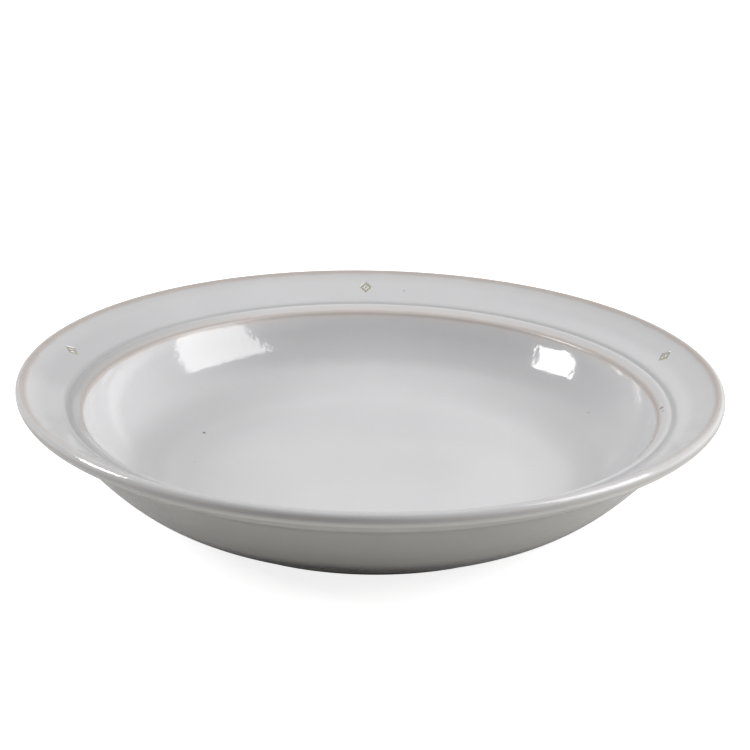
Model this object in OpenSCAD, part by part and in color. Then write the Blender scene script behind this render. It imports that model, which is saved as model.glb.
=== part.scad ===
// Rimmed soup plate in glazed stoneware.
// A thrown clay body carries the coat of glaze and the oxide stain in its pressed marks.
// Everything is turned about +Z. The origin is the centre of the foot's resting face.
// The plate's finished surface, its skin, is one line in the (radius, height) half plane.
// The clay lies one coat thickness under that line wherever glaze covers it.

/* [Plate] */
// Diameter over the lip
plate_d = 240; // [200:1:280]
// Height from the resting face to the top of the lip
plate_h = 43.5; // [38:0.5:52]

/* [Rim] */
// Slope of the rim, falling towards the well, in degrees
rim_angle = 31.6; // [26:0.2:36]
// Width of the rim, from the plate's edge in to the groove
rim_w = 16.9; // [13:0.1:21]
// Thickness of the rim, square to its slope
rim_t = 4.7; // [4.2:0.1:6]
// Radius of the lip's upper rounding
lip_r = 1.85; // [1.4:0.05:2]
// Radius of the rounding where the rim's underside meets the bowl
crease_r = 2; // [1:0.1:4]
// Distance from the plate's edge in to that crease
crease_in = 12; // [10:0.1:15]

/* [Bead round the well] */
// Width of the bead, from the groove in to the well's edge
bead_w = 5.2; // [4.6:0.1:7]
// How far the bead stands proud of the rim's slope
bead_h = 1.7; // [1.3:0.05:2.2]
// Radius of the bead's outer roll
bead_r = 1.5; // [1.1:0.05:1.8]
// Radius of the groove's bottom
groove_r = 0.5; // [0.3:0.05:0.8]
// Rounding of the well's edge
edge_r = 1.4; // [0.9:0.05:1.8]

/* [Well] */
// Thickness of the bottom, between the well and the recess under it
floor_t = 5.2; // [4.2:0.1:7]
// Diameter of the well's flat floor
floor_d = 120; // [90:1:130]
// Slope of the well's wall just under its edge, in degrees
wall_angle = 72; // [62:0.5:80]

/* [Bowl outside] */
// Slope of the bowl just under the crease, in degrees
bowl_top_angle = 45.8; // [42:0.2:50]
// Slope of the bowl where it meets the foot, in degrees
bowl_foot_angle = 20; // [16:0.5:26]

/* [Foot] */
// Outer diameter of the foot's resting face
foot_d = 136; // [120:1:142]
// Height of the foot at its outer side
foot_h = 1.9; // [1.6:0.1:3.5]
// Width of the foot at its resting face
foot_w = 4.8; // [3.2:0.1:7]
// How far the foot's outer side leans out on its way up
foot_lean = 2.5; // [1.2:0.1:3.5]
// Rounding of the foot's two lower edges
foot_edge_r = 0.7; // [0.4:0.05:1]
// Height of the recess inside the foot
recess_h = 2.4; // [1.6:0.1:3.5]
// Rounding in the corner of the recess
recess_r = 1.6; // [1.1:0.1:2.4]

/* [Glaze] */
// Thickness of the coat of glaze
coat_t = 0.5; // [0.3:0.05:0.7]
// Width of the line on the lip that the glaze leaves nearly bare
lip_break_w = 1.4; // [0.8:0.1:1.8]

/* [Pressed marks] */
// Number of marks round the rim
mark_count = 5; // [3:1:12]
// Width of a mark, along the rim
mark_w = 4.6; // [3:0.1:6]
// Height of a mark, across the rim
mark_h = 5.4; // [3:0.1:7]
// Width of the mark's line
mark_line_w = 0.8; // [0.5:0.05:1]
// Distance from the plate's edge in to the marks' centres
mark_in = 9.4; // [8:0.1:11]
// Thickness of the oxide stain in the marks
stain_t = 0.25; // [0.1:0.05:0.25]
// Turn of the first mark from +X, in degrees
mark_turn = 18; // [0:1:119]

/* [Hidden] */

// Steps in a quarter turn of a rounding, steps along a long curve, and sides of a full turn
arc_steps = 6;
curve_steps = 14;
$fn = 180;

// How far a cutting shape runs past what it cuts
overrun = 1;

// Handle lengths of the long curves, as shares of the distance between their ends
well_floor_share = 0.44;
well_wall_share = 0.265;
bowl_top_share = 0.3;
bowl_foot_share = 0.42;

plate_r = plate_d / 2;
foot_r = foot_d / 2;
floor_z = recess_h + floor_t;

// Along the rim's slope, outwards, and square to it, upwards
along = [cos(rim_angle), sin(rim_angle)];
square_to = [-sin(rim_angle), cos(rim_angle)];

// Points of an arc from one angle to another
function arc(centre, radius, from, to) =
    let (steps = max(2, ceil(arc_steps * abs(to - from) / 90)))
    [for (i = [0:steps])
        let (turn = from + (to - from) * i / steps)
        centre + radius * [cos(turn), sin(turn)]];

// Points of a curve between two ends, each with its handle
function curve(start, start_handle, end_handle, end) =
    [for (i = [0:curve_steps])
        let (s = i / curve_steps)
        pow(1 - s, 3) * start + 3 * pow(1 - s, 2) * s * start_handle
            + 3 * (1 - s) * pow(s, 2) * end_handle + pow(s, 3) * end];

function unit(v) = v / norm(v);
function left_of(a, b) = let (d = unit(b - a)) [-d.y, d.x];
function reversed(points) = [for (i = [len(points) - 1:-1:0]) points[i]];

// A line moved to its right by a thickness, each corner along the mitre of its two sides.
// The skin runs from the plate's centre outwards, so its right-hand side is the clay.
function inset(points, thickness) =
    let (last = len(points) - 1)
    [for (i = [0:last])
        let (
            before = left_of(points[max(i - 1, 0)], points[max(i, 1)]),
            after = left_of(points[min(i, last - 1)], points[min(i + 1, last)])
        )
        points[i] - thickness * (before + after) / (1 + before * after)];

// The lip: an upper and a lower rounding that meet at the plate's edge
lip_z = plate_h - lip_r;
lip_centre = [plate_r - lip_r, lip_z];
lip_under_r = (rim_t - lip_r * (1 + sin(rim_angle))) / (1 - sin(rim_angle));
lip_under_centre = [plate_r - lip_under_r, lip_z];

// The rim's slope starts where the upper rounding ends
rim_start = lip_centre + lip_r * square_to;
function on_rim(radius) = rim_start + (radius - rim_start.x) / along.x * along;

// The groove's rounding sits on the slope, and the bead's roll touches it
groove_centre = on_rim(plate_r - rim_w) + groove_r * square_to;
roll_rise = bead_h - bead_r;
roll_reach = sqrt(pow(bead_r + groove_r, 2) - pow(groove_r - roll_rise, 2));
roll_centre = groove_centre - roll_reach * along + (roll_rise - groove_r) * square_to;
roll_to_groove = unit(groove_centre - roll_centre);
groove_turn = atan2(roll_to_groove.y, roll_to_groove.x);

// The bead's flank runs down to the well's edge, parallel to the rim
flank_start = roll_centre + bead_r * square_to;
edge_corner = flank_start + (plate_r - rim_w - bead_w - flank_start.x) / along.x * along;
edge_bite = edge_r * tan((wall_angle - rim_angle) / 2);
edge_start = edge_corner + edge_bite * along;
edge_centre = edge_start - edge_r * square_to;

// Stretches of the skin, from the plate's centre outwards
well_end = edge_centre + edge_r * [-sin(wall_angle), cos(wall_angle)];
well_start = [floor_d / 2, floor_z];
well_span = norm(well_end - well_start);
well_line = concat(
    [[0, floor_z]],
    curve(
        well_start,
        well_start + well_floor_share * well_span * [1, 0],
        well_end - well_wall_share * well_span * [cos(wall_angle), sin(wall_angle)],
        well_end));

edge_line = arc(edge_centre, edge_r, 90 + wall_angle, 90 + rim_angle);

groove_line = arc(groove_centre, groove_r, groove_turn - 180, rim_angle - 90);
rim_line = concat(
    [edge_start],
    arc(roll_centre, bead_r, 90 + rim_angle, groove_turn),
    [for (i = [1:len(groove_line) - 1]) groove_line[i]],
    [rim_start]);

lip_break_turn = 90 + rim_angle - lip_break_w / lip_r * 180 / PI;
lip_line = arc(lip_centre, lip_r, 90 + rim_angle, lip_break_turn);

// The rim's underside, down to the crease and round it
under_end = lip_under_centre - lip_under_r * square_to;
crease_corner = under_end + (plate_r - crease_in - under_end.x) / along.x * along;
crease_bite = crease_r * tan((bowl_top_angle - rim_angle) / 2);
crease_centre = crease_corner + crease_bite * along - crease_r * square_to;

// The bowl's outside, from the crease to the foot
bowl_start = crease_centre + crease_r * [-sin(bowl_top_angle), cos(bowl_top_angle)];
bowl_end = [foot_r + foot_lean, foot_h];
bowl_span = norm(bowl_start - bowl_end);
bowl_line = curve(
    bowl_start,
    bowl_start - bowl_top_share * bowl_span * [cos(bowl_top_angle), sin(bowl_top_angle)],
    bowl_end + bowl_foot_share * bowl_span * [cos(bowl_foot_angle), sin(bowl_foot_angle)],
    bowl_end);

lip_side_line = arc(lip_centre, lip_r, lip_break_turn, 0);
lip_under_line = arc(lip_under_centre, lip_under_r, 0, rim_angle - 90);
crease_line = arc(crease_centre, crease_r, 90 + rim_angle, 90 + bowl_top_angle);
outer_line = concat(
    lip_side_line,
    [for (i = [1:len(lip_under_line) - 1]) lip_under_line[i]],
    crease_line,
    [for (i = [1:len(bowl_line) - 1]) bowl_line[i]]);

// The bare foot, from the glaze's lower edge down its leaning side and round to its inner side
foot_start = inset(outer_line, coat_t)[len(outer_line) - 1];
foot_side_angle = atan2(foot_start.y, foot_start.x - foot_r);
foot_bite = foot_edge_r * tan(foot_side_angle / 2);
recess_side_r = foot_r - foot_w;
foot_line = concat(
    arc([foot_r - foot_bite, foot_edge_r], foot_edge_r, foot_side_angle - 90, -90),
    arc([recess_side_r + foot_edge_r, foot_edge_r], foot_edge_r, -90, -180));

// Inside the foot the glaze runs over the ceiling and into the rounded corner
recess_centre = [recess_side_r - recess_r, recess_h - recess_r];
base_line = concat(arc(recess_centre, recess_r, 45, 90), [[0, recess_h]]);

// The clay's own outline: under the coats, and out at the skin along the two bare lines
clay_line = concat(
    inset(well_line, coat_t),
    edge_line,
    inset(rim_line, coat_t),
    lip_line,
    inset(outer_line, coat_t),
    foot_line,
    inset(base_line, coat_t));

module turned(points) {
    rotate_extrude()
        polygon(points);
}

// A coat of glaze over one stretch of the skin
module coat(line, thickness = coat_t) {
    turned(concat(line, reversed(inset(line, thickness))));
}

// A lozenge, given by its two half sizes
module lozenge(half_w, half_h) {
    polygon([[half_h, 0], [0, half_w], [-half_h, 0], [0, -half_w]]);
}

// The mark's face: a lozenge line round a small solid lozenge
module mark_face() {
    half_w = mark_w / 2;
    half_h = mark_h / 2;
    side_in = half_w * half_h / norm([half_w, half_h]);
    inner_share = 1 - mark_line_w / side_in;
    centre_share = mark_line_w / side_in / 2;
    difference() {
        lozenge(half_w, half_h);
        lozenge(half_w * inner_share, half_h * inner_share);
    }
    lozenge(half_w * centre_share, half_h * centre_share);
}

// The marks as square-cut prisms through the rim's coat
module mark_prisms() {
    place = on_rim(plate_r - mark_in);
    for (i = [0:mark_count - 1])
        rotate([0, 0, mark_turn + i * 360 / mark_count])
            translate([place.x, 0, place.y])
                rotate([0, -rim_angle, 0])
                    translate([0, 0, -coat_t - overrun])
                        linear_extrude(coat_t + 2 * overrun)
                            mark_face();
}

// Stoneware body: bowl, rim with its lip and bead, and the bare foot
module clay_body() {
    color("#b7a693")
        turned(clay_line);
}

// Glaze in the well, up to its edge
module well_glaze() {
    color("#d4d4d6")
        coat(well_line);
}

// Glaze over the bead and the rim, cut through by the marks
module rim_glaze() {
    color("#cfcfd2")
        difference() {
            coat(rim_line);
            mark_prisms();
        }
}

// Glaze round the lip, under the rim and down the bowl
module outer_glaze() {
    color("#c6c5c4")
        coat(outer_line);
}

// Glaze on the ceiling of the recess inside the foot
module base_glaze() {
    color("#c6c5c4")
        coat(base_line);
}

// Oxide stain, settled on the clay at the bottom of each mark
module mark_stain() {
    stained_line = inset([groove_line[len(groove_line) - 1], rim_start], coat_t - stain_t);
    color("#8f8b6c")
        intersection() {
            coat(stained_line, stain_t);
            mark_prisms();
        }
}

clay_body();
well_glaze();
rim_glaze();
outer_glaze();
base_glaze();
mark_stain();
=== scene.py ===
# Rimmed soup plate in glazed stoneware: a turned clay body, its coats of glaze and its pressed marks.
import math
from collections import namedtuple

import bpy
import numpy as np
from mathutils import Matrix, Vector


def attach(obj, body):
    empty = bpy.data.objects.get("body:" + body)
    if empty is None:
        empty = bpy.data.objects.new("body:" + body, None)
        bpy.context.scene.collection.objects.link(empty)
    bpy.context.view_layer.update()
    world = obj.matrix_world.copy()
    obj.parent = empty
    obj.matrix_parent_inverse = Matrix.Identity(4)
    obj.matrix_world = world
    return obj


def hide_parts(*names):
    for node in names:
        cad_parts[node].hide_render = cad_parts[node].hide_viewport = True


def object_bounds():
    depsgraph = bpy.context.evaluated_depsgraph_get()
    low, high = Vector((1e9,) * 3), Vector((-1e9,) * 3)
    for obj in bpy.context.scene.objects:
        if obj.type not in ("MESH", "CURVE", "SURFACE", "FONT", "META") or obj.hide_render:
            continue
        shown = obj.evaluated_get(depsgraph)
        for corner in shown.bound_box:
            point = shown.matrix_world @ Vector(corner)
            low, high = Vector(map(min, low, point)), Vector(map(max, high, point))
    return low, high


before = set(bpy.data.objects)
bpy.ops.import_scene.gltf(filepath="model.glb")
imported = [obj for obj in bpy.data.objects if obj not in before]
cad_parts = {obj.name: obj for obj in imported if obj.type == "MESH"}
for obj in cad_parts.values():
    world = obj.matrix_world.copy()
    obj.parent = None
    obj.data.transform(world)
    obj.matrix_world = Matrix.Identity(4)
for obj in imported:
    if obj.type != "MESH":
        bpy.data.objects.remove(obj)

CAD_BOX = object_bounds()
MM = 0.001

# Sizes of the plate, in millimetres and degrees. The outer two come from the frame.
PLATE_R = CAD_BOX[1].x / MM
PLATE_H = CAD_BOX[1].z / MM
RIM_ANGLE = 31.6
RIM_W = 16.65
RIM_T = 4.7
LIP_R = 1.85
LIP_BREAK_W = 1.4
CREASE_R = 10.0
CREASE_IN = 12.0
BEAD_W = 5.45
BEAD_H = 1.55
BEAD_R = 1.9
EDGE_R = 1.4
FLOOR_T = 5.2
FLOOR_R = 60.0
WALL_ANGLE = 72.0
BOWL_TOP_ANGLE = 45.8
BOWL_FOOT_ANGLE = 20.0
FOOT_R = 68.0
FOOT_H = 1.9
FOOT_W = 4.8
FOOT_LEAN = 2.5
FOOT_EDGE_R = 0.7
RECESS_H = 2.4
RECESS_R = 1.6
RECESS_START = 45.0
COAT_T = 0.5

# The groove beside the bead, and the glaze pooled in it: how far it fills the groove round the bead,
# how far out on the rim it ends, its tilt as it leaves the groove, and the length of its line's handles
GROOVE_R = 0.4
GROOVE_FILL = 2.0
RUN_OUT = 2.6
RUN_OUT_TILT = 10.0
RUN_OUT_HANDLE = 1.0

# Handle lengths of the long curves, as shares of the distance between their ends
WELL_FLOOR_SHARE = 0.44
WELL_WALL_SHARE = 0.265
BOWL_TOP_SHARE = 0.30
BOWL_FOOT_SHARE = 0.42

# The pressed marks: lozenges of a line's width, pressed into the rim's glaze, with stain lying in them
MARK_COUNT = 5
MARK_W = 4.6
MARK_H = 5.4
MARK_LINE_W = 0.8
MARK_IN = 9.4
MARK_TURN = 18.0
MARK_SIDE = MARK_W * MARK_H / 2 / math.hypot(MARK_W, MARK_H)
REFINED_SHARE = 0.75
PRESS_DEPTH = 0.42
PRESS_SPREAD = 0.95
STAIN_T = 0.25
STAIN_BED = 0.05
STAIN_EDGE_R = 0.08

# Fineness of the turned meshes
TURNS = 160
RIM_TURNS = 288
FLOOR_RINGS = 12
CURVE_STEPS = 44
BEAD_STEPS = 4
RIM_STEPS = 14
RUN_OUT_STEPS = 8
UNDER_RIM_SHARES = (0.33, 0.67)
MARK_CUTS = 15
ARC_DEGREES = 5.0
MERGE_WITHIN = 0.002
SMOOTH_UP_TO = math.radians(40)


# Outline of the skin, in the (radius, height) half plane, from the centre outwards

def direction(angle):
    """The unit vector along an angle."""
    return np.array([math.cos(math.radians(angle)), math.sin(math.radians(angle))])


def square_to(angle):
    """The unit vector square to a slope, out of the clay."""
    return direction(angle + 90)


def arc(centre, radius, start, end):
    """Points along an arc from one angle to another."""
    steps = max(2, math.ceil(abs(end - start) / ARC_DEGREES))
    return [centre + radius * direction(a) for a in np.linspace(start, end, steps + 1)]


def curve(start, start_handle, end_handle, end, steps=CURVE_STEPS):
    """Points along a curve that leaves its start towards one handle and reaches its end from the other."""
    return [
        (1 - s) ** 3 * start + 3 * (1 - s) ** 2 * s * start_handle
        + 3 * (1 - s) * s ** 2 * end_handle + s ** 3 * end
        for s in np.linspace(0, 1, steps + 1)
    ]


def straight(start, end, steps):
    """The points of a straight stretch, without its end."""
    return [start + (end - start) * step / steps for step in range(steps)]


def inset(points, thickness):
    """The line moved into the clay by a thickness, each corner along the mitre of its two sides."""
    p = np.array(points)
    along = np.diff(p, axis=0)
    along /= np.linalg.norm(along, axis=1)[:, None]
    out = np.stack([-along[:, 1], along[:, 0]], axis=1)
    before = np.vstack([out[:1], out])
    after = np.vstack([out, out[-1:]])
    mitre = (before + after) / (1 + (before * after).sum(axis=1))[:, None]
    return list(p - thickness * mitre)


def skin_lines():
    """The stretches of the plate's finished surface."""
    slope = direction(RIM_ANGLE)
    out = square_to(RIM_ANGLE)

    # The lip: one rounding over it, and a wider one under it that makes up the rim's thickness
    lip_centre = np.array([PLATE_R - LIP_R, PLATE_H - LIP_R])
    rim_sine = math.sin(math.radians(RIM_ANGLE))
    under_r = (RIM_T - LIP_R * (1 + rim_sine)) / (1 - rim_sine)
    under_centre = np.array([PLATE_R - under_r, PLATE_H - LIP_R])
    lip_break = 90 + RIM_ANGLE - math.degrees(LIP_BREAK_W / LIP_R)
    rim_start = lip_centre + LIP_R * out

    def on_rim(radius):
        return rim_start + (radius - rim_start[0]) / slope[0] * slope

    # The bead, which rolls into the groove, and the glaze that fills the groove and runs out on the rim
    groove = on_rim(PLATE_R - RIM_W) + GROOVE_R * out
    roll_rise = BEAD_H - BEAD_R
    reach = math.sqrt((BEAD_R + GROOVE_R) ** 2 - (GROOVE_R - roll_rise) ** 2)
    roll = groove - reach * slope + (roll_rise - GROOVE_R) * out
    flank_start = roll + BEAD_R * out
    groove_turn = math.degrees(math.atan2(*(groove - roll)[::-1])) + GROOVE_FILL
    filled = roll + (BEAD_R + GROOVE_R) * direction(groove_turn)
    filled_end = filled + GROOVE_R * direction(RUN_OUT_TILT - 90)
    rim_line = on_rim(groove[0] + RUN_OUT)
    run_out = curve(
        filled_end,
        filled_end + RUN_OUT_HANDLE * direction(RUN_OUT_TILT),
        rim_line - RUN_OUT_HANDLE * slope,
        rim_line,
        RUN_OUT_STEPS)

    # The well's edge, and the well's long curve from the floor up to it
    corner = flank_start + (PLATE_R - RIM_W - BEAD_W - flank_start[0]) / slope[0] * slope
    edge_start = corner + EDGE_R * math.tan(math.radians(WALL_ANGLE - RIM_ANGLE) / 2) * slope
    edge_centre = edge_start - EDGE_R * out
    well_end = edge_centre + EDGE_R * square_to(WALL_ANGLE)
    well_start = np.array([FLOOR_R, RECESS_H + FLOOR_T])
    well_span = np.linalg.norm(well_end - well_start)
    well_curve = curve(
        well_start,
        well_start + WELL_FLOOR_SHARE * well_span * direction(0),
        well_end - WELL_WALL_SHARE * well_span * direction(WALL_ANGLE),
        well_end)

    # The crease under the rim, and the bowl's long curve down to the foot
    under_end = under_centre - under_r * out
    crease = under_end + (PLATE_R - CREASE_IN - under_end[0]) / slope[0] * slope
    bite = CREASE_R * math.tan(math.radians(BOWL_TOP_ANGLE - RIM_ANGLE) / 2)
    crease_centre = crease + bite * slope - CREASE_R * out
    crease_start = crease_centre + CREASE_R * out
    bowl_start = crease_centre + CREASE_R * square_to(BOWL_TOP_ANGLE)
    bowl_end = np.array([FOOT_R + FOOT_LEAN, FOOT_H])
    bowl_span = np.linalg.norm(bowl_start - bowl_end)
    bowl_curve = curve(
        bowl_start,
        bowl_start - BOWL_TOP_SHARE * bowl_span * direction(BOWL_TOP_ANGLE),
        bowl_end + BOWL_FOOT_SHARE * bowl_span * direction(BOWL_FOOT_ANGLE),
        bowl_end)

    return {
        "well": straight(np.array([0, well_start[1]]), well_start, FLOOR_RINGS) + well_curve,
        "edge": arc(edge_centre, EDGE_R, 90 + WALL_ANGLE, 90 + RIM_ANGLE),
        "rim": straight(edge_start, flank_start, BEAD_STEPS)
        + arc(roll, BEAD_R, 90 + RIM_ANGLE, groove_turn)
        + arc(filled, GROOVE_R, groove_turn - 180, RUN_OUT_TILT - 90)[1:]
        + run_out[1:]
        + straight(rim_line, rim_start, RIM_STEPS)[1:] + [rim_start],
        "lip": arc(lip_centre, LIP_R, 90 + RIM_ANGLE, lip_break),
        "outer": arc(lip_centre, LIP_R, lip_break, 0)
        + arc(under_centre, under_r, 0, RIM_ANGLE - 90)[1:]
        + [under_end + (crease_start - under_end) * share for share in UNDER_RIM_SHARES]
        + arc(crease_centre, CREASE_R, 90 + RIM_ANGLE, 90 + BOWL_TOP_ANGLE)
        + bowl_curve[1:],
    }


SKIN = skin_lines()


def base_line():
    """The recess under the plate, from partway round its rounded corner to the centre."""
    centre = np.array([FOOT_R - FOOT_W - RECESS_R, RECESS_H - RECESS_R])
    rings = [np.array([r, RECESS_H]) for r in np.linspace(centre[0], 0, FLOOR_RINGS + 1)[1:]]
    return arc(centre, RECESS_R, RECESS_START, 90) + rings


def foot_line():
    """The bare foot, from the glaze's lower edge round to the foot's inner side."""
    side = inset(SKIN["outer"], COAT_T)[-1] - np.array([FOOT_R, 0])
    lean = math.degrees(math.atan2(side[1], side[0]))
    bite = FOOT_EDGE_R * math.tan(math.radians(lean) / 2)
    outer_round = arc(np.array([FOOT_R - bite, FOOT_EDGE_R]), FOOT_EDGE_R, lean - 90, -90)
    inner_round = arc(np.array([FOOT_R - FOOT_W + FOOT_EDGE_R, FOOT_EDGE_R]), FOOT_EDGE_R, -90, -180)
    return outer_round + inner_round


# Pieces, turned from their outlines

def read(collection, field, width):
    """One field of all of a mesh's vertices or faces, as rows of numbers."""
    rows = np.empty(len(collection) * width)
    collection.foreach_get(field, rows)
    return rows.reshape(-1, width)


def laid_ring(name, points):
    """A ring of vertices laid on an outline, and opened where the outline runs along the axis."""
    bpy.ops.object.select_all(action="DESELECT")
    bpy.ops.mesh.primitive_circle_add(vertices=len(points), radius=MM, location=(0, 0, 0))
    piece = bpy.context.active_object
    piece.name = name
    piece.data.name = name
    places = np.zeros((len(points), 3))
    places[:, 0] = points[:, 0] * MM
    places[:, 2] = points[:, 1] * MM
    piece.data.vertices.foreach_set("co", places.ravel())
    on_axis = points[:, 0] == 0
    bpy.ops.object.mode_set(mode="EDIT")
    bpy.ops.mesh.select_mode(type="EDGE")
    bpy.ops.mesh.select_all(action="DESELECT")
    bpy.ops.object.mode_set(mode="OBJECT")
    for edge in piece.data.edges:
        edge.select = bool(on_axis[list(edge.vertices)].all())
    bpy.ops.object.mode_set(mode="EDIT")
    bpy.ops.mesh.delete(type="EDGE")
    bpy.ops.mesh.select_mode(type="VERT")
    bpy.ops.mesh.select_all(action="SELECT")
    return piece


def turned(name, outline, turns=TURNS):
    """A closed piece: a ring laid on the outline, then spun about the axis."""
    piece = laid_ring(name, np.array(outline))
    bpy.ops.mesh.spin(steps=turns, angle=math.tau, center=(0, 0, 0), axis=(0, 0, 1))
    bpy.ops.mesh.select_all(action="SELECT")
    bpy.ops.mesh.remove_doubles(threshold=MERGE_WITHIN * MM)
    bpy.ops.mesh.normals_make_consistent(inside=False)
    bpy.ops.object.mode_set(mode="OBJECT")
    bpy.ops.object.shade_smooth_by_angle(angle=SMOOTH_UP_TO)
    return piece


def coat(name, line, turns=TURNS):
    """A coat of glaze along one stretch of the skin."""
    return turned(name, list(line) + inset(line, COAT_T)[::-1], turns)


def clay_outline():
    """The clay: under each coat, at the surface where the glaze breaks, and bare at the foot."""
    return (
        inset(SKIN["well"], COAT_T) + SKIN["edge"] + inset(SKIN["rim"], COAT_T) + SKIN["lip"]
        + inset(SKIN["outer"], COAT_T) + foot_line() + inset(base_line(), COAT_T)
    )


# Material helpers

def new_material(name):
    material = bpy.data.materials.new(name)
    material.use_nodes = True
    return material


def add(tree, kind, values=None, **settings):
    """Adds a node, with values for its inputs by name and settings of the node itself."""
    node = tree.nodes.new(kind)
    for key, value in settings.items():
        setattr(node, key, value)
    for name, value in (values or {}).items():
        node.inputs[name].default_value = value
    return node


def feed(tree, value, socket):
    """Gives an input its value, which is another node's output or a number."""
    if hasattr(value, "links"):
        tree.links.new(value, socket)
    else:
        socket.default_value = value


def maths(tree, operation, *values):
    """A Math node whose inputs are sockets or numbers."""
    node = add(tree, "ShaderNodeMath", operation=operation)
    for socket, value in zip(node.inputs, values):
        feed(tree, value, socket)
    return node.outputs[0]


def hypotenuse(tree, first, second):
    squares = [maths(tree, "POWER", side, 2.0) for side in (first, second)]
    return maths(tree, "SQRT", maths(tree, "ADD", *squares))


def blend(tree, mask, first, second):
    """Mixes two colours, each a socket or an RGB tuple, by a mask."""
    node = add(tree, "ShaderNodeMix", data_type="RGBA")
    tree.links.new(mask, node.inputs[0])
    colours = [socket for socket in node.inputs if socket.type == "RGBA"]
    for socket, value in zip(colours, (first, second)):
        feed(tree, (*value, 1) if isinstance(value, tuple) else value, socket)
    return [socket for socket in node.outputs if socket.type == "RGBA"][0]


def fade(tree, value, start, end):
    """1 at start and before it, falling smoothly to 0 at end."""
    node = add(tree, "ShaderNodeMapRange", {"To Min": 1, "To Max": 0}, interpolation_type="SMOOTHSTEP")
    feed(tree, value, node.inputs["Value"])
    feed(tree, start, node.inputs["From Min"])
    feed(tree, end, node.inputs["From Max"])
    return node.outputs[0]


def new_group(name, inputs, outputs):
    """A shader group with float inputs and their defaults, and float outputs."""
    group = bpy.data.node_groups.new(name, "ShaderNodeTree")
    for socket, default in inputs.items():
        made = group.interface.new_socket(socket, in_out="INPUT", socket_type="NodeSocketFloat")
        made.default_value = default
    for socket in outputs:
        group.interface.new_socket(socket, in_out="OUTPUT", socket_type="NodeSocketFloat")
    return group, group.nodes.new("NodeGroupInput"), group.nodes.new("NodeGroupOutput")


def place(tree, group, **values):
    """Puts a shader group into a tree, with values for its inputs."""
    node = tree.nodes.new("ShaderNodeGroup")
    node.node_tree = group
    for key, value in values.items():
        feed(tree, value, node.inputs[key.replace("_", " ")])
    return node


def object_millimetres(tree):
    """The object's own coordinates, in millimetres."""
    coordinates = add(tree, "ShaderNodeTexCoord")
    scaled = add(tree, "ShaderNodeVectorMath", {"Scale": 1 / MM}, operation="SCALE")
    tree.links.new(coordinates.outputs["Object"], scaled.inputs[0])
    return scaled.outputs[0]


def noise(tree, waves, detail, roughness=0.5):
    """Noise over the object, from 0 to 1, with so many waves per millimetre."""
    values = {"Scale": waves, "Detail": detail, "Roughness": roughness}
    texture = add(tree, "ShaderNodeTexNoise", values)
    tree.links.new(object_millimetres(tree), texture.inputs["Vector"])
    return texture.outputs["Fac"]


def raise_surface(tree, shader, height):
    """Lets a height in millimetres stand on the shader's surface."""
    bump = add(tree, "ShaderNodeBump", {"Strength": 1.0, "Distance": MM})
    tree.links.new(height, bump.inputs["Height"])
    tree.links.new(bump.outputs["Normal"], shader.inputs["Normal"])


# Shader groups

def ring_distance_group():
    """Distance from a ring about the axis, how far inwards of it, and X and Y, all in millimetres."""
    rings = {"Radius": 100.0, "Height": 30.0}
    group, inputs, outputs = new_group("Distance From Ring", rings, ["Distance", "Inwards", "X", "Y"])
    axes = add(group, "ShaderNodeSeparateXYZ")
    group.links.new(object_millimetres(group), axes.inputs[0])
    radius = hypotenuse(group, axes.outputs["X"], axes.outputs["Y"])
    inwards = maths(group, "SUBTRACT", inputs.outputs["Radius"], radius)
    rise = maths(group, "SUBTRACT", axes.outputs["Z"], inputs.outputs["Height"])
    group.links.new(hypotenuse(group, inwards, rise), outputs.inputs["Distance"])
    group.links.new(inwards, outputs.inputs["Inwards"])
    group.links.new(axes.outputs["X"], outputs.inputs["X"])
    group.links.new(axes.outputs["Y"], outputs.inputs["Y"])
    return group


RING_DISTANCE = ring_distance_group()


def glaze_tint_group():
    """A ring where the glaze breaks thin or pools, or where light or shade is painted on the glaze,
    reaching further to one side than to the other.
    """
    settings = {
        "Radius": 98.2, "Height": 33.3, "Core": 0.3, "Reach Inwards": 0.8, "Reach Outwards": 1.6,
        "Unevenness": 0.5, "Evenness": 1.0, "Lean X": 0.0, "Lean Y": 0.0}
    group, inputs, outputs = new_group("Glaze Tint", settings, ["Mask"])
    given = inputs.outputs
    ring = place(group, RING_DISTANCE, Radius=given["Radius"], Height=given["Height"])
    side = maths(group, "GREATER_THAN", ring.outputs["Inwards"], 0.0)
    reach_difference = maths(group, "SUBTRACT", given["Reach Inwards"], given["Reach Outwards"])
    reach = maths(group, "MULTIPLY_ADD", side, reach_difference, given["Reach Outwards"])
    patches = noise(group, waves=0.12, detail=3.0)
    wander = maths(group, "MULTIPLY", maths(group, "SUBTRACT", patches, 0.5), given["Unevenness"])
    beyond = maths(group, "SUBTRACT", ring.outputs["Distance"], given["Core"])
    share = maths(group, "ADD", maths(group, "DIVIDE", beyond, reach), wander)
    leaning = given["Evenness"]
    for axis in "XY":
        lean = maths(group, "DIVIDE", ring.outputs[axis], given["Radius"])
        leaning = maths(group, "MULTIPLY_ADD", lean, given["Lean " + axis], leaning)
    leaning = maths(group, "MINIMUM", maths(group, "MAXIMUM", leaning, 0.0), 1.0)
    mask = maths(group, "MULTIPLY", fade(group, share, start=0.0, end=1.0), leaning)
    group.links.new(mask, outputs.inputs["Mask"])
    return group


GLAZE_TINT = glaze_tint_group()


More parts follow.
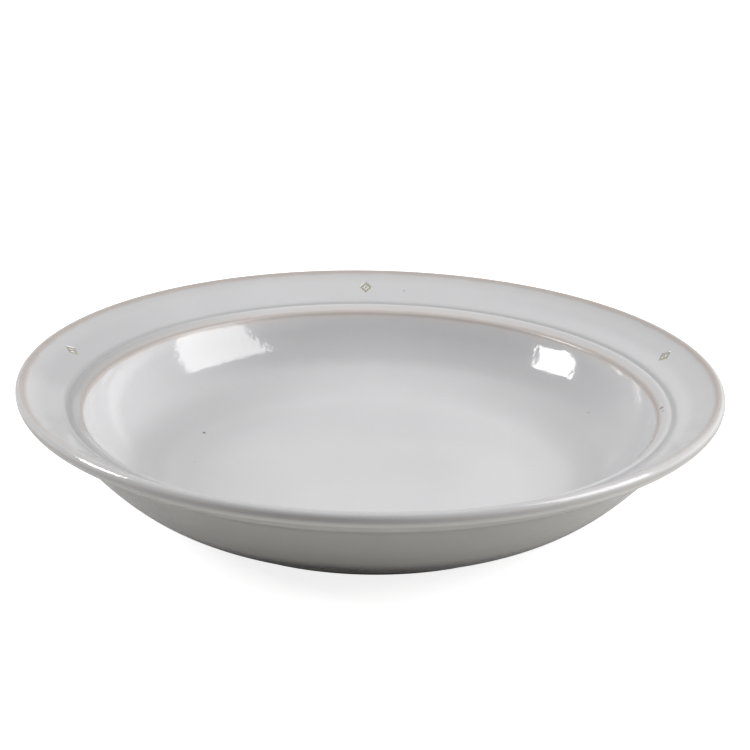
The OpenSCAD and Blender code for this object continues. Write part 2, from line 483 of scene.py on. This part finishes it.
def spot_group():
    """One round spot at a place on the object, in millimetres, with a ragged edge."""
    group, inputs, outputs = new_group("Spot", {"X": 0.0, "Y": 0.0, "Z": 0.0, "Size": 0.5}, ["Spot"])
    spot_place = add(group, "ShaderNodeCombineXYZ")
    for axis in "XYZ":
        group.links.new(inputs.outputs[axis], spot_place.inputs[axis])
    apart = add(group, "ShaderNodeVectorMath", operation="DISTANCE")
    group.links.new(object_millimetres(group), apart.inputs[0])
    group.links.new(spot_place.outputs[0], apart.inputs[1])
    share = maths(group, "DIVIDE", apart.outputs["Value"], inputs.outputs["Size"])
    ragged = maths(group, "SUBTRACT", noise(group, waves=1.8, detail=2.0), 0.5)
    spot = fade(group, maths(group, "ADD", share, ragged), start=0.35, end=1.0)
    group.links.new(spot, outputs.inputs["Spot"])
    return group


SPOT = spot_group()


def speck_group():
    """Small iron specks, in a few of the cells of a coarse lattice."""
    settings = {"Spacing": 9.0, "Size": 0.28, "Share": 0.3}
    group, inputs, outputs = new_group("Iron Specks", settings, ["Speck"])
    given = inputs.outputs
    cells = add(group, "ShaderNodeTexVoronoi", {"Randomness": 1.0})
    group.links.new(object_millimetres(group), cells.inputs["Vector"])
    group.links.new(maths(group, "DIVIDE", 1.0, given["Spacing"]), cells.inputs["Scale"])
    lots = add(group, "ShaderNodeSeparateColor")
    group.links.new(cells.outputs["Color"], lots.inputs[0])
    width = maths(group, "MULTIPLY", given["Size"], lots.outputs[1])
    size = maths(group, "DIVIDE", width, given["Spacing"])
    dot = fade(group, cells.outputs["Distance"], start=maths(group, "MULTIPLY", size, 0.45), end=size)
    chosen = maths(group, "LESS_THAN", lots.outputs[0], given["Share"])
    group.links.new(maths(group, "MULTIPLY", dot, chosen), outputs.inputs["Speck"])
    return group


IRON_SPECKS = speck_group()


def ripple_group():
    """Height of the glaze's long ripples, its fine peel and the throwing rings, in millimetres."""
    settings = {"Ripple": 0.05, "Peel": 0.004, "Rings": 0.01}
    group, inputs, outputs = new_group("Glaze Ripple", settings, ["Height"])
    given = inputs.outputs
    from_centre = place(group, RING_DISTANCE, Radius=0.0, Height=0.0)
    rings = add(group, "ShaderNodeTexNoise", {"Scale": 0.3, "Detail": 2.0}, noise_dimensions="1D")
    group.links.new(from_centre.outputs["Distance"], rings.inputs["W"])
    height = maths(group, "MULTIPLY", noise(group, waves=0.05, detail=1.0), given["Ripple"])
    peel = noise(group, waves=0.33, detail=2.0)
    height = maths(group, "MULTIPLY_ADD", peel, given["Peel"], height)
    height = maths(group, "MULTIPLY_ADD", rings.outputs["Fac"], given["Rings"], height)
    group.links.new(height, outputs.inputs["Height"])
    return group


GLAZE_RIPPLE = ripple_group()


# Rings of the plate along which the glaze breaks, pools or changes its tone, or along which light and shade
# are painted on it

def ring_at(line, share):
    """Radius and height of the ring that runs through one point of a stretch of the outline."""
    radius, height = line[round(share * (len(line) - 1))]
    return {"Radius": float(radius), "Height": float(height)}


def ring_inside(inwards, height):
    """Radius and height of the ring at a height, so far inwards of the plate's outermost line."""
    return {"Radius": PLATE_R - inwards, "Height": height}


LIP_RING = ring_at(SKIN["lip"], 0.5)
LIP_SHOULDER_RING = ring_inside(0.4, PLATE_H - 0.8)
LIP_SIDE_RING = ring_inside(0.8, PLATE_H - 1.9)
UNDER_LIP_RING = ring_inside(0.0, PLATE_H - 2.2)
UNDER_RIM_RING = ring_inside(3.3, 37.0)
LEFT_RIM_RING = ring_inside(13.0, 36.6)
RIGHT_RIM_RING = ring_inside(14.5, 35.9)
GROOVE_RING = ring_inside(RIM_W + 0.3, 34.7)
FLANK_RING = ring_inside(RIM_W + 3.6, 34.9)
EDGE_RING = ring_at(SKIN["edge"], 0.5)
LEFT_WALL_RING = ring_inside(28.0, 23.0)
BACK_WALL_RING = ring_inside(28.5, 23.5)
COVE_RING = ring_inside(44.0, 11.0)
FLOOR_RING = ring_inside(70.0, RECESS_H + FLOOR_T)
CREASE_RING = ring_at(SKIN["outer"], 0.3)
FOOT_RING = ring_at(SKIN["outer"], 1.0)

# Colours of the glaze in its even coat, where it is thin and where it is pooled, and of the iron in it; and
# colours that paint light and shade on it
GLAZE_PALE = (0.655, 0.655, 0.665)
# Darker than the glaze in the well: partly its own warmer tone, partly painted shade on the plate's outside
# and underside
WARM_GLAZE_AND_SHADE = (0.59, 0.568, 0.538)
# Painted shade: a darker glaze colour laid where the well and rim fall into shade; in the cove it also
# stands for glaze pooled there
PAINTED_SHADE_GREY = (0.55, 0.55, 0.56)
# Painted light: a whiter glaze colour laid where the lamps light the plate most
PAINTED_LIGHT_WHITE = (0.73, 0.73, 0.74)
# Painted light: the rim's underside made pale as if lit from the floor below
PAINTED_LIGHT_UNDER_RIM = (0.9, 0.875, 0.84)
THIN_TAN = (0.47, 0.41, 0.375)
THIN_GREY = (0.50, 0.475, 0.455)
THIN_ROSE = (0.67, 0.625, 0.60)
# Grey on the bead's inner flank: glaze pooled there, and painted shade on the left
FLANK_POOL_AND_SHADE = (0.40, 0.40, 0.40)
# Grey in the groove by the bead: glaze pooled there, and painted shade where the groove falls into shadow
GROOVE_POOL_AND_SHADE = (0.42, 0.42, 0.425)
# Olive in the crease under the rim: glaze pooled there, and painted shade in the crease
CREASE_POOL_AND_SHADE = (0.42, 0.405, 0.37)
# Painted shadow: the bowl's outside darkening to near black towards the foot, where the plate meets the
# floor
PAINTED_SHADOW_AT_FOOT = (0.13, 0.125, 0.117)
SPECK_BROWN = (0.16, 0.14, 0.13)

GLAZE_ROUGHNESS = 0.09
THIN_DULLNESS = 0.25
GLAZE_IOR = 1.55
CLOUD_DEPTH = 0.03

# Where round the plate a break or a painted light or shade shows: its share all round, and what is added at
# the right and the back
Where = namedtuple("Where", "all_round right back")
ALL_ROUND = Where(1.0, 0.0, 0.0)
LEFT_SIDE = Where(-0.6, -1.6, 0.0)
LEFT_NOT_BACK = Where(-0.6, -1.6, -0.5)
MOSTLY_LEFT = Where(0.75, -0.25, -0.75)
RIGHT_SIDE = Where(-0.6, 1.6, 0.0)
BACK_AND_RIGHT = Where(0.4, 0.1, 0.45)
BACK_SIDE = Where(-0.3, 0.0, 1.3)
MOSTLY_BACK = Where(0.7, 0.15, 0.3)
LESS_AT_BACK = Where(0.95, 0.0, -0.25)
IN_FRONT = Where(0.1, 0.0, -0.9)
LESS_IN_FRONT = Where(0.9, 0.1, 0.55)
NOT_IN_FRONT = Where(1.0, 0.0, 0.75)

# One ring of tint on the glaze, where it breaks or pools or where light or shade is painted: its ring,
# colour and strength, and where round the plate it shows. In millimetres, its core is how far from the ring
# it is full, and beyond that it fades inwards and outwards. Wander makes its edges uneven.
TintRing = namedtuple("TintRing", "ring tint strength where core inwards outwards wander")
LIP_BREAKS = [
    TintRing(LIP_SIDE_RING, THIN_GREY, 0.7, LESS_IN_FRONT, core=1.0, inwards=1.9, outwards=1.9, wander=0.4),
    TintRing(LIP_RING, THIN_GREY, 0.45, BACK_AND_RIGHT, core=0.5, inwards=6.0, outwards=1.0, wander=0.3),
    TintRing(LIP_RING, THIN_TAN, 0.85, NOT_IN_FRONT, core=0.3, inwards=2.2, outwards=0.9, wander=0.6),
]
EDGE_BREAKS = [
    TintRing(EDGE_RING, THIN_ROSE, 0.8, BACK_AND_RIGHT, core=0.6, inwards=3.2, outwards=4.2, wander=0.4),
    TintRing(EDGE_RING, THIN_TAN, 0.8, LESS_AT_BACK, core=0.35, inwards=1.1, outwards=1.3, wander=0.7),
]
WELL_TINTS = [
    # painted light: the well's floor lighter towards the right
    TintRing(FLOOR_RING, PAINTED_LIGHT_WHITE, 0.8, RIGHT_SIDE, core=12.0, inwards=20.0, outwards=18.0, wander=0.3),
    # painted shade: the well's floor darker towards the left
    TintRing(FLOOR_RING, PAINTED_SHADE_GREY, 0.35, LEFT_SIDE, core=12.0, inwards=20.0, outwards=18.0, wander=0.3),
    # painted shade: the well's back wall darker
    TintRing(BACK_WALL_RING, PAINTED_SHADE_GREY, 1.0, BACK_SIDE, core=4.0, inwards=8.0, outwards=8.0, wander=0.3),
    # painted light: the well's left wall lighter
    TintRing(LEFT_WALL_RING, PAINTED_LIGHT_WHITE, 0.7, LEFT_SIDE, core=6.0, inwards=9.0, outwards=9.0, wander=0.2),
    # darker in the cove, mostly on the left: glaze pooled there, and painted shade
    TintRing(COVE_RING, PAINTED_SHADE_GREY, 0.8, MOSTLY_LEFT, core=2.0, inwards=8.0, outwards=8.0, wander=0.3),
] + EDGE_BREAKS
RIM_TINTS = [
    # painted shade: the rim darker on the left
    TintRing(LEFT_RIM_RING, PAINTED_SHADE_GREY, 1.0, LEFT_NOT_BACK, core=3.0, inwards=3.0, outwards=9.0, wander=0.2),
    # painted light: the rim lighter on the right
    TintRing(RIGHT_RIM_RING, PAINTED_LIGHT_WHITE, 1.0, RIGHT_SIDE, core=1.5, inwards=2.0, outwards=5.0, wander=0.2),
    TintRing(EDGE_RING, THIN_GREY, 0.3, ALL_ROUND, core=0.6, inwards=1.0, outwards=2.0, wander=0.3),
    # grey on the bead's inner flank on the left: glaze pooled there, and painted shade
    TintRing(FLANK_RING, FLANK_POOL_AND_SHADE, 0.95, LEFT_SIDE, core=2.0, inwards=1.7, outwards=1.5, wander=0.2),
] + EDGE_BREAKS + [
    # grey in the groove, mostly at the back: glaze pooled there, and painted shade
    TintRing(GROOVE_RING, GROOVE_POOL_AND_SHADE, 0.9, MOSTLY_BACK, core=0.4, inwards=0.8, outwards=1.9, wander=0.2),
] + LIP_BREAKS
OUTER_TINTS = [
    TintRing(LIP_SIDE_RING, GLAZE_PALE, 1.0, ALL_ROUND, core=1.7, inwards=1.4, outwards=1.4, wander=0.2),
    # painted light: the lip's shoulder lighter in front
    TintRing(LIP_SHOULDER_RING, PAINTED_LIGHT_WHITE, 1.0, IN_FRONT, core=0.5, inwards=0.8, outwards=0.8, wander=0.2),
] + LIP_BREAKS + [
    # painted light: the underside of the rim lit from the floor below
    TintRing(UNDER_RIM_RING, PAINTED_LIGHT_UNDER_RIM, 0.95, ALL_ROUND, core=3.6, inwards=5.5, outwards=1.6, wander=0.2),
    # painted shade: a grey line round the lip's widest point, which faces away from the lamps
    TintRing(UNDER_LIP_RING, THIN_GREY, 0.55, ALL_ROUND, core=0.3, inwards=0.8, outwards=0.8, wander=0.2),
    # olive in the crease under the rim: glaze pooled there, and painted shade
    TintRing(CREASE_RING, CREASE_POOL_AND_SHADE, 0.25, ALL_ROUND, core=0.5, inwards=3.0, outwards=3.0, wander=0.3),
    # painted shadow: dark over the last few centimetres of the bowl above the foot
    TintRing(FOOT_RING, PAINTED_SHADOW_AT_FOOT, 0.85, ALL_ROUND, core=14.0, inwards=11.0, outwards=11.0, wander=0.2),
]

# Iron spots that show through the glaze: x, y, z and size in millimetres, and how dark
IRON_SPOTS = [
    (-58.7, 33.7, 8.3, 0.95, 0.95),
    (-60.7, 8.0, 7.6, 0.5, 0.35),
    (99.3, -4.8, 34.3, 1.2, 0.8),
    (99.4, -8.0, 34.3, 0.8, 0.5),
    (14.9, 108.6, 38.4, 0.6, 0.4),
    (33.4, 107.1, 39.0, 0.5, 0.3),
    (-10.7, 92.8, 24.6, 0.4, 0.2),
    (79.3, 34.6, 17.2, 0.6, 0.3),
    (-63.2, -77.3, 23.1, 0.5, 0.4),
    (-38.3, -85.7, 16.9, 0.5, 0.4),
]
FINE_SPECK_DARKNESS = 0.45

# The bare clay and the stain, with the heights of their grain in millimetres
CLAY_BROWN = (0.36, 0.29, 0.225)
CLAY_BUFF = (0.44, 0.37, 0.30)
CLAY_GRAIN = (0.30, 0.235, 0.18)
GROG_DARK = (0.10, 0.075, 0.06)
GRAIN_HEIGHT = 0.08
CLAY_ROUGHNESS = 0.82
STAIN_BROWN = (0.36, 0.34, 0.23)
STAIN_OLIVE = (0.46, 0.44, 0.33)
STAIN_HEIGHT = 0.05
STAIN_ROUGHNESS = 0.3


# Materials

def glaze_material(name, colour, breaks):
    """Gloss glaze: pale and clouded, tan where it breaks thin, grey where it pools, with iron specks, and
    with painted light and shade in rings on it.
    """
    material = new_material(name)
    tree = material.node_tree
    shader = tree.nodes["Principled BSDF"]
    clouds = fade(tree, noise(tree, waves=0.02, detail=3.0), start=0.35, end=0.65)
    result = blend(tree, clouds, colour, tuple(c * (1 - CLOUD_DEPTH) for c in colour))
    dullness = GLAZE_ROUGHNESS
    for each in breaks:
        tinting = place(
            tree, GLAZE_TINT, Core=each.core, Reach_Inwards=each.inwards, Reach_Outwards=each.outwards,
            Unevenness=each.wander, Evenness=each.where.all_round, Lean_X=each.where.right,
            Lean_Y=each.where.back, **each.ring)
        mask = tinting.outputs["Mask"]
        result = blend(tree, maths(tree, "MULTIPLY", mask, each.strength), result, each.tint)
        if each.tint is THIN_TAN:
            dullness = maths(tree, "MULTIPLY_ADD", mask, THIN_DULLNESS, dullness)
    for x, y, z, size, dark in IRON_SPOTS:
        spot = place(tree, SPOT, X=x, Y=y, Z=z, Size=size)
        result = blend(tree, maths(tree, "MULTIPLY", spot.outputs["Spot"], dark), result, SPECK_BROWN)
    specks = place(tree, IRON_SPECKS, Spacing=13.0, Size=0.4, Share=0.1)
    speck_mask = maths(tree, "MULTIPLY", specks.outputs["Speck"], FINE_SPECK_DARKNESS)
    tree.links.new(blend(tree, speck_mask, result, SPECK_BROWN), shader.inputs["Base Color"])
    tree.links.new(dullness, shader.inputs["Roughness"])
    ripple = place(tree, GLAZE_RIPPLE, Ripple=0.12, Peel=0.06, Rings=0.02)
    raise_surface(tree, shader, ripple.outputs["Height"])
    shader.inputs["IOR"].default_value = GLAZE_IOR
    return material


def clay_material():
    """Bare fired stoneware: warm, matt and grainy, with dark grains of grog."""
    material = new_material("bare_stoneware")
    tree = material.node_tree
    shader = tree.nodes["Principled BSDF"]
    grain = noise(tree, waves=2.2, detail=4.0, roughness=0.6)
    patches = fade(tree, noise(tree, waves=0.05, detail=3.0), start=0.3, end=0.7)
    warm = blend(tree, patches, CLAY_BROWN, CLAY_BUFF)
    grainy = blend(tree, fade(tree, grain, start=0.35, end=0.6), warm, CLAY_GRAIN)
    grog = place(tree, IRON_SPECKS, Spacing=2.6, Size=0.45, Share=0.25)
    tree.links.new(blend(tree, grog.outputs["Speck"], grainy, GROG_DARK), shader.inputs["Base Color"])
    raise_surface(tree, shader, maths(tree, "MULTIPLY", grain, GRAIN_HEIGHT))
    shader.inputs["Roughness"].default_value = CLAY_ROUGHNESS
    return material


def stain_material():
    """Oxide stain under a thin gloss, mottled from olive to dull brown."""
    material = new_material("oxide_stain")
    tree = material.node_tree
    shader = tree.nodes["Principled BSDF"]
    mottle = noise(tree, waves=0.9, detail=4.0)
    colour = blend(tree, fade(tree, mottle, start=0.35, end=0.65), STAIN_BROWN, STAIN_OLIVE)
    tree.links.new(colour, shader.inputs["Base Color"])
    raise_surface(tree, shader, maths(tree, "MULTIPLY", mottle, STAIN_HEIGHT))
    shader.inputs["Roughness"].default_value = STAIN_ROUGHNESS
    return material


# The pressed marks

def mark_places():
    """Centre of each mark on the skin, and its directions up the slope, along the rim and outwards."""
    radius = PLATE_R - MARK_IN
    line = np.array(SKIN["rim"])[-RIM_STEPS:]
    height = float(np.interp(radius, line[:, 0], line[:, 1]))
    slope = direction(RIM_ANGLE)
    for mark in range(MARK_COUNT):
        turn = Matrix.Rotation(math.radians(MARK_TURN + mark * 360 / MARK_COUNT), 3, "Z")
        up = turn @ Vector((slope[0], 0, slope[1]))
        across = turn @ Vector((0, 1, 0))
        centre = turn @ Vector((radius, 0, height)) * MM
        yield centre, up, across, up.cross(across)


def press_depth(across, up):
    """Depth of the pressed mark at places on it, all in millimetres."""
    reach = (abs(across) / (MARK_W / 2) + abs(up) / (MARK_H / 2)) * MARK_SIDE
    to_line = np.minimum(abs(reach - (MARK_SIDE - MARK_LINE_W / 2)), reach)
    share = np.clip(1 - to_line / (MARK_LINE_W * PRESS_SPREAD), 0, 1)
    return PRESS_DEPTH * share * share * (3 - 2 * share)


def from_mark(places, centre):
    """Where places lie from a mark's centre, in millimetres."""
    return (places - np.array(centre)) / MM


def beside_marks(places, width, height):
    """Which of these places lie on the outer skin within a width and height of a mark's centre."""
    near = np.zeros(len(places), dtype=bool)
    for centre, up, across, out in mark_places():
        offset = from_mark(places, centre)
        inside = (abs(offset @ across) < width) & (abs(offset @ up) < height)
        near |= inside & (abs(offset @ out) < COAT_T / 2)
    return near


def press_marks(piece):
    """Refines the rim where the marks are, and presses them into its outer face."""
    mesh = piece.data
    centres = read(mesh.polygons, "center", 3)
    near = beside_marks(centres, MARK_W * REFINED_SHARE, MARK_H * REFINED_SHARE)
    bpy.ops.object.mode_set(mode="EDIT")
    bpy.ops.mesh.select_mode(type="FACE")
    bpy.ops.mesh.select_all(action="DESELECT")
    bpy.ops.object.mode_set(mode="OBJECT")
    mesh.polygons.foreach_set("select", near)
    bpy.ops.object.mode_set(mode="EDIT")
    bpy.ops.mesh.subdivide(number_cuts=MARK_CUTS)
    bpy.ops.object.mode_set(mode="OBJECT")
    places = read(mesh.vertices, "co", 3)
    for centre, up, across, out in mark_places():
        offset = from_mark(places, centre)
        near = (np.linalg.norm(offset, axis=1) < MARK_H) & (abs(offset @ out) < COAT_T / 2)
        depth = press_depth(offset[near] @ across, offset[near] @ up)
        places[near] -= depth[:, None] * np.array(out) * MM
    mesh.vertices.foreach_set("co", places.ravel())
    mesh.update()


def lozenge(share, line_w=None):
    """A lozenge of stain at the origin, at a share of the mark's size: filled, or a line round it."""
    bpy.ops.object.select_all(action="DESELECT")
    bpy.ops.mesh.primitive_circle_add(vertices=4, radius=MM, fill_type="NGON", location=(0, 0, 0))
    piece = bpy.context.active_object
    bpy.ops.object.mode_set(mode="EDIT")
    bpy.ops.transform.resize(value=(MARK_H / 2 * share, MARK_W / 2 * share, 1))
    if line_w:
        bpy.ops.mesh.inset(thickness=line_w * MM)
        bpy.ops.mesh.delete(type="FACE")
    bpy.ops.mesh.select_all(action="SELECT")
    bpy.ops.mesh.extrude_region_move(TRANSFORM_OT_translate={"value": (0, 0, STAIN_T * MM)})
    bpy.ops.mesh.select_all(action="SELECT")
    bpy.ops.mesh.normals_make_consistent(inside=False)
    bpy.ops.object.mode_set(mode="OBJECT")
    return piece


def joined(pieces):
    bpy.ops.object.select_all(action="DESELECT")
    for piece in pieces:
        piece.select_set(True)
    bpy.context.view_layer.objects.active = pieces[0]
    bpy.ops.object.join()
    return bpy.context.active_object


def stain_fillings():
    """The stain lying in the marks: a lozenge line round a small lozenge, copied from mark to mark."""
    filling = joined([lozenge(1.0, MARK_LINE_W), lozenge(MARK_LINE_W / MARK_SIDE / 2)])
    bevel = filling.modifiers.new("soft_edges", "BEVEL")
    bevel.width = STAIN_EDGE_R * MM
    bevel.segments = 2
    bpy.ops.object.modifier_apply(modifier=bevel.name)
    fillings = [filling]
    for _ in range(MARK_COUNT - 1):
        bpy.ops.object.duplicate(linked=False)
        fillings.append(bpy.context.active_object)
    for filling, (centre, up, across, out) in zip(fillings, mark_places()):
        turn = Matrix((up, across, out)).transposed().to_4x4()
        sunk = centre - out * (COAT_T - STAIN_BED) * MM
        filling.data.transform(Matrix.Translation(sunk) @ turn)
    piece = joined(fillings)
    piece.name = "stain_in_marks"
    piece.data.name = piece.name
    bpy.ops.object.shade_smooth_by_angle(angle=SMOOTH_UP_TO)
    return piece


# The pieces of the plate

def finish_piece(piece, node, slot, *materials):
    """Gives a piece its materials and its place in the frame, and hides the node that it stands for."""
    for material in materials:
        piece.data.materials.append(material)
    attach(piece, "root")
    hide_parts(node)


def glass_over_breaks(piece):
    """Gives the second material to the clay's faces along the lines where the glaze breaks."""
    centres = read(piece.data.polygons, "center", 3) / MM
    section = np.stack([np.hypot(centres[:, 0], centres[:, 1]), centres[:, 2]], axis=1)
    break_line = np.array(SKIN["edge"] + SKIN["lip"])
    to_break = np.linalg.norm(section[:, None] - break_line[None], axis=2).min(axis=1)
    piece.data.polygons.foreach_set("material_index", (to_break < COAT_T / 3).astype(np.int32))


well_glaze = glaze_material("well_glaze_gloss", GLAZE_PALE, WELL_TINTS)
rim_glaze = glaze_material("rim_glaze_gloss", GLAZE_PALE, RIM_TINTS)
outer_glaze = glaze_material("outer_glaze_gloss", WARM_GLAZE_AND_SHADE, OUTER_TINTS)

body = turned("stoneware_body", clay_outline())
finish_piece(body, "clay_body", "stoneware", clay_material(), rim_glaze)
glass_over_breaks(body)

finish_piece(coat("glaze_in_well", SKIN["well"]), "well_glaze", "glaze", well_glaze)
rim = coat("glaze_on_rim", SKIN["rim"], RIM_TURNS)
press_marks(rim)
finish_piece(rim, "rim_glaze", "glaze", rim_glaze)
finish_piece(coat("glaze_outside", SKIN["outer"], RIM_TURNS), "outer_glaze", "glaze", outer_glaze)
finish_piece(coat("glaze_under_base", base_line()), "base_glaze", "glaze", outer_glaze)
finish_piece(stain_fillings(), "mark_stain", "oxide_stain", stain_material())


# Studio: floor, sky, soft boxes and camera, turned about the plate so that its marks lie as in the photo

STUDIO_TURN = -1.33
GLOSS_SHARE = 0.06
PAPER_GLOW = 0.84
PAPER_WHITE = (0.62, 0.62, 0.62, 1)
WHITE = (1, 1, 1, 1)
FLOOR_SIZE = 8
FLOOR_DROP = 0.0002


def from_plate(azimuth, elevation):
    """The direction from the plate to a place in the studio, by its angles round it and above the floor."""
    flat = math.cos(math.radians(elevation))
    turn = math.radians(azimuth + STUDIO_TURN)
    return Vector((flat * math.cos(turn), flat * math.sin(turn), math.sin(math.radians(elevation))))


def softbox(name, azimuth, elevation, distance, width, height, power, roll):
    """A soft box that faces the plate's centre, placed by its direction from there and rolled."""
    light = bpy.data.lights.new(name, "AREA")
    light.shape = "RECTANGLE"
    light.size = width
    light.size_y = height
    light.energy = power
    lamp = bpy.data.objects.new(name, light)
    bpy.context.scene.collection.objects.link(lamp)
    towards = from_plate(azimuth, elevation)
    facing = towards.to_track_quat("Z", "Y").to_matrix().to_4x4()
    rolled = Matrix.Rotation(math.radians(roll), 4, "Z")
    lamp.matrix_world = Matrix.Translation(towards * distance) @ facing @ rolled


def seen_as_white(tree):
    """How white the studio looks to a ray: fully to the eye and through glass, a little in gloss."""
    path = add(tree, "ShaderNodeLightPath")
    in_gloss = maths(tree, "MULTIPLY", path.outputs["Is Glossy Ray"], GLOSS_SHARE)
    through = maths(tree, "MAXIMUM", path.outputs["Is Camera Ray"], path.outputs["Is Transmission Ray"])
    return maths(tree, "MAXIMUM", through, in_gloss)


def studio_floor():
    """White paper under the plate: it takes the plate's shadow, and glows a little to the eye alone."""
    bpy.ops.object.select_all(action="DESELECT")
    bpy.ops.mesh.primitive_plane_add(size=FLOOR_SIZE, location=(0, 0, -FLOOR_DROP))
    floor = bpy.context.active_object
    floor.name = "studio_floor"
    material = new_material("floor_paper")
    tree = material.node_tree
    tree.nodes.remove(tree.nodes["Principled BSDF"])
    paper = add(tree, "ShaderNodeBsdfDiffuse", {"Color": PAPER_WHITE})
    glow = add(tree, "ShaderNodeEmission", {"Color": WHITE})
    tree.links.new(maths(tree, "MULTIPLY", seen_as_white(tree), PAPER_GLOW), glow.inputs["Strength"])
    both = add(tree, "ShaderNodeAddShader")
    tree.links.new(paper.outputs[0], both.inputs[0])
    tree.links.new(glow.outputs[0], both.inputs[1])
    tree.links.new(both.outputs[0], tree.nodes["Material Output"].inputs["Surface"])
    floor.data.materials.append(material)


def glow_towards(tree, view, azimuth, elevation, strength):
    """A broad soft light round one direction, which falls off as the square of the cosine."""
    facing = add(tree, "ShaderNodeVectorMath", operation="DOT_PRODUCT")
    tree.links.new(view, facing.inputs[0])
    facing.inputs[1].default_value = from_plate(azimuth, elevation)
    ahead = maths(tree, "MAXIMUM", facing.outputs["Value"], 0.0)
    return maths(tree, "MULTIPLY", maths(tree, "POWER", ahead, 2.0), strength)


def studio_air():
    """White to the eye; as light, a soft sky from above and behind, and a low band from the sides."""
    world = bpy.data.worlds.new("studio_air")
    bpy.context.scene.world = world
    world.use_nodes = True
    tree = world.node_tree
    background = tree.nodes["Background"]
    background.inputs["Color"].default_value = WHITE
    view = add(tree, "ShaderNodeTexCoord").outputs["Generated"]
    axes = add(tree, "ShaderNodeSeparateXYZ")
    tree.links.new(view, axes.inputs[0])
    low = fade(tree, axes.outputs["Z"], start=0.22, end=0.34)
    right = glow_towards(tree, view, azimuth=20, elevation=0, strength=1.25)
    left = glow_towards(tree, view, azimuth=160, elevation=0, strength=0.25)
    behind = glow_towards(tree, view, azimuth=90, elevation=20, strength=0.47)
    above = glow_towards(tree, view, azimuth=0, elevation=90, strength=0.35)
    sides = maths(tree, "MULTIPLY", maths(tree, "ADD", right, left), low)
    sky = maths(tree, "ADD", maths(tree, "ADD", sides, behind), above)
    to_white = maths(tree, "SUBTRACT", 1.0, sky)
    strength = maths(tree, "MULTIPLY_ADD", to_white, seen_as_white(tree), sky)
    tree.links.new(strength, background.inputs["Strength"])


def photo_camera():
    """The photograph's own view: its distance, height, lens and slight roll."""
    elevation = math.radians(20.0)
    distance = 0.792
    roll_angle = math.radians(1.03)
    camera = bpy.data.cameras.new("studio_camera")
    camera.lens = 111.5
    camera.sensor_width = 36.0
    camera.shift_x = 0.0057
    camera.shift_y = -0.0007
    camera.clip_start = 0.01
    camera.clip_end = 20
    eye = bpy.data.objects.new("studio_camera", camera)
    bpy.context.scene.collection.objects.link(eye)
    height = distance * math.sin(elevation) + PLATE_H * MM
    stand = Matrix.Translation((0, -distance * math.cos(elevation), height))
    tilt = Matrix.Rotation(math.pi / 2 - elevation, 4, "X")
    roll = Matrix.Rotation(roll_angle, 4, "Z")
    eye.matrix_world = Matrix.Rotation(math.radians(STUDIO_TURN), 4, "Z") @ stand @ tilt @ roll
    bpy.context.scene.camera = eye


studio_floor()
studio_air()
softbox(
    "key_softbox", azimuth=-9.0, elevation=35.2, distance=1.0,
    width=0.6, height=0.72, power=8.5, roll=-20)
softbox(
    "side_softbox", azimuth=174, elevation=31.7, distance=1.1,
    width=0.32, height=0.46, power=7.5, roll=36)
photo_camera()

bpy.context.scene.view_settings.view_transform = "Standard"
